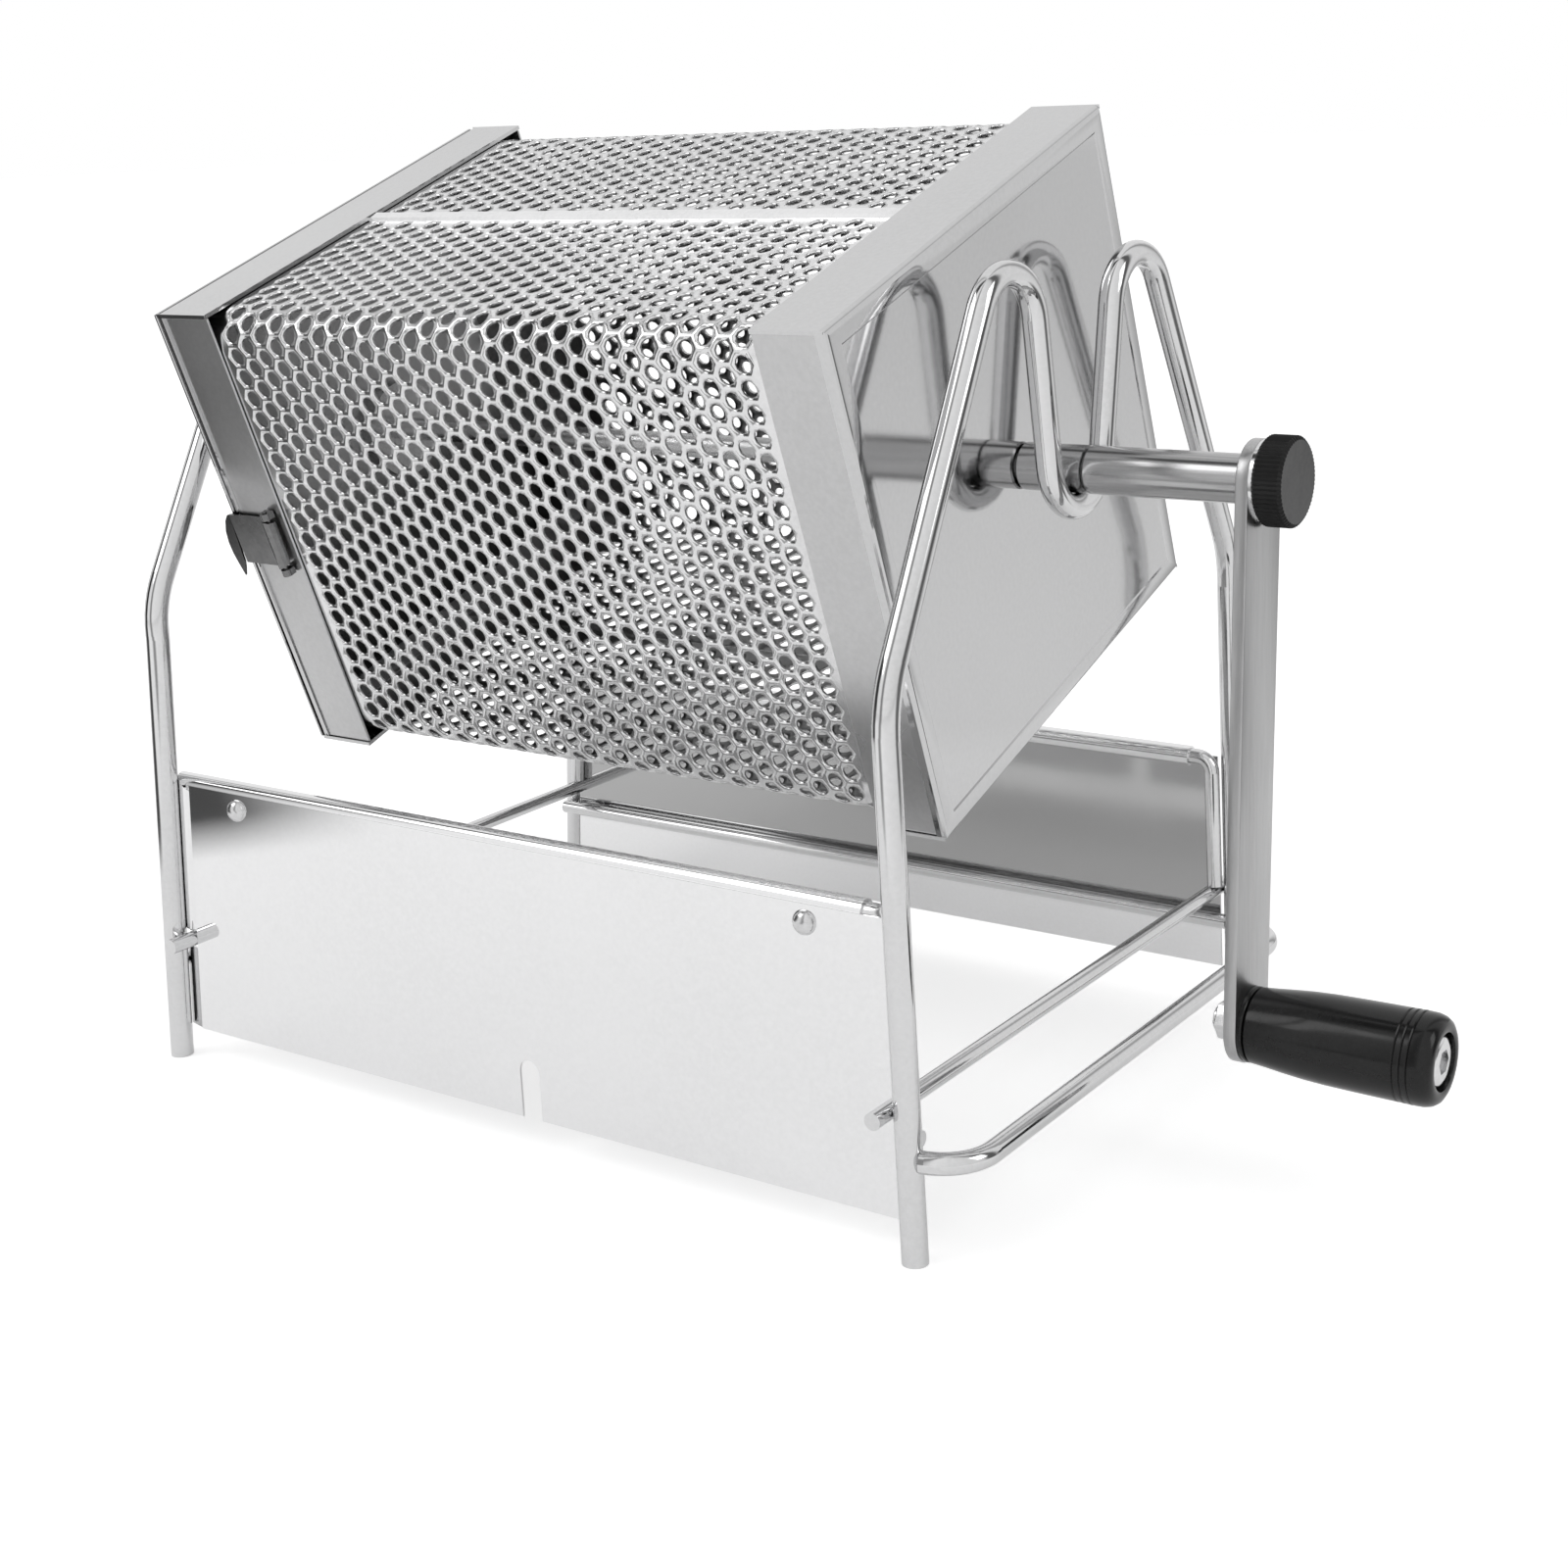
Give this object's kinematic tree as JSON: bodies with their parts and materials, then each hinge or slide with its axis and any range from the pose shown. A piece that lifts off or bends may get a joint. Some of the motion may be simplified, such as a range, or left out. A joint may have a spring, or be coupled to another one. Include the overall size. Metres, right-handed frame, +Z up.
{
  "type": "hand cranked stovetop coffee bean roaster",
  "caption": "Square perforated steel drum on a horizontal shaft, turned by a side crank with a handle, carried in an open wire stand with wind panels for use over a burner.",
  "frame": {"origin": "On the ground, at the middle of the bounding box's footprint. The stand's own middle is at X = -40.8 mm, and the drum's axis is 159.5 mm above the ground at Y = 0.", "axes": "+X along the drum's axis towards the crank, +Y from the front panel to the back panel, +Z up."},
  "size_m": [0.3252, 0.176, 0.2391],
  "materials": {
    "bright_wire": "bright drawn steel wire, polished",
    "mirror_sheet": "bright polished stainless sheet",
    "rivet_steel": "plain domed steel",
    "polished_cap_sheet": "polished stainless sheet",
    "perforated_steel": "punched satin stainless sheet",
    "turned_steel": "turned and polished steel",
    "bush_steel": "turned steel, slightly dull",
    "brushed_arm_steel": "brushed along its length",
    "bright_hardware": "bright zinc or chrome plate",
    "black_knurled_metal": "matte black, knurled rim",
    "black_gloss_plastic": "glossy black moulded handle",
    "latch_steel": "bent stainless sheet"
  },
  "bodies": {
    "stand": {"right_wire_frame": "bright_wire", "left_wire_frame": "bright_wire", "left_side_bar": "bright_wire", "right_side_bar": "bright_wire", "right_lower_hoop": "bright_wire", "front_rail": "bright_wire", "back_rail": "bright_wire", "front_panel_wire": "bright_wire", "back_panel_wire": "bright_wire", "front_panel": "mirror_sheet", "back_panel": "mirror_sheet", "panel_rivets": "rivet_steel"},
    "bushes": {"right_seat_bush": "bush_steel", "left_seat_bush": "bush_steel"},
    "drum": {"crank_side_cap": "polished_cap_sheet", "lid_frame": "polished_cap_sheet", "lid_door": "polished_cap_sheet", "front_mesh_half": "perforated_steel", "back_mesh_half": "perforated_steel", "crank_shaft": "turned_steel", "stub_axle": "turned_steel", "axle_rod": "turned_steel", "shaft_hub": "turned_steel", "stub_hub": "turned_steel", "upper_mixing_paddle": "turned_steel", "lower_mixing_paddle": "turned_steel", "crank_arm": "brushed_arm_steel", "knob_washer": "bright_hardware", "clamp_knob": "black_knurled_metal", "grip_washer": "black_gloss_plastic", "grip_nut": "bright_hardware", "grip_bolt": "bright_hardware", "latch_ears": "latch_steel", "latch_pin": "bright_hardware", "hinge_frame_leaf": "latch_steel", "hinge_door_leaf": "latch_steel", "hinge_pin": "bright_hardware"},
    "handle": {"grip_handle": "black_gloss_plastic"},
    "latch": {"latch_leaf": "latch_steel"}
  },
  "joints": [
    {"name": "drum_lift", "type": "slide", "parent": "stand", "child": "bushes", "axis": [0, 0, 1], "range_m": [0, 0.15]},
    {"name": "drum_spin", "type": "hinge", "parent": "bushes", "child": "drum", "pos_m": [-0.04084, 0, 0.1595], "axis": [1, 0, 0], "continuous": true},
    {"name": "handle_spin", "type": "hinge", "parent": "drum", "child": "handle", "pos_m": [0.13916, -0.00476, 0.03559], "axis": [1, 0, 0], "continuous": true},
    {"name": "latch_flip", "type": "hinge", "parent": "drum", "child": "latch", "pos_m": [-0.12684, -0.0605, 0.13831], "axis": [0, -0.3305, 0.9438], "range_deg": [0, 75]}
  ]
}
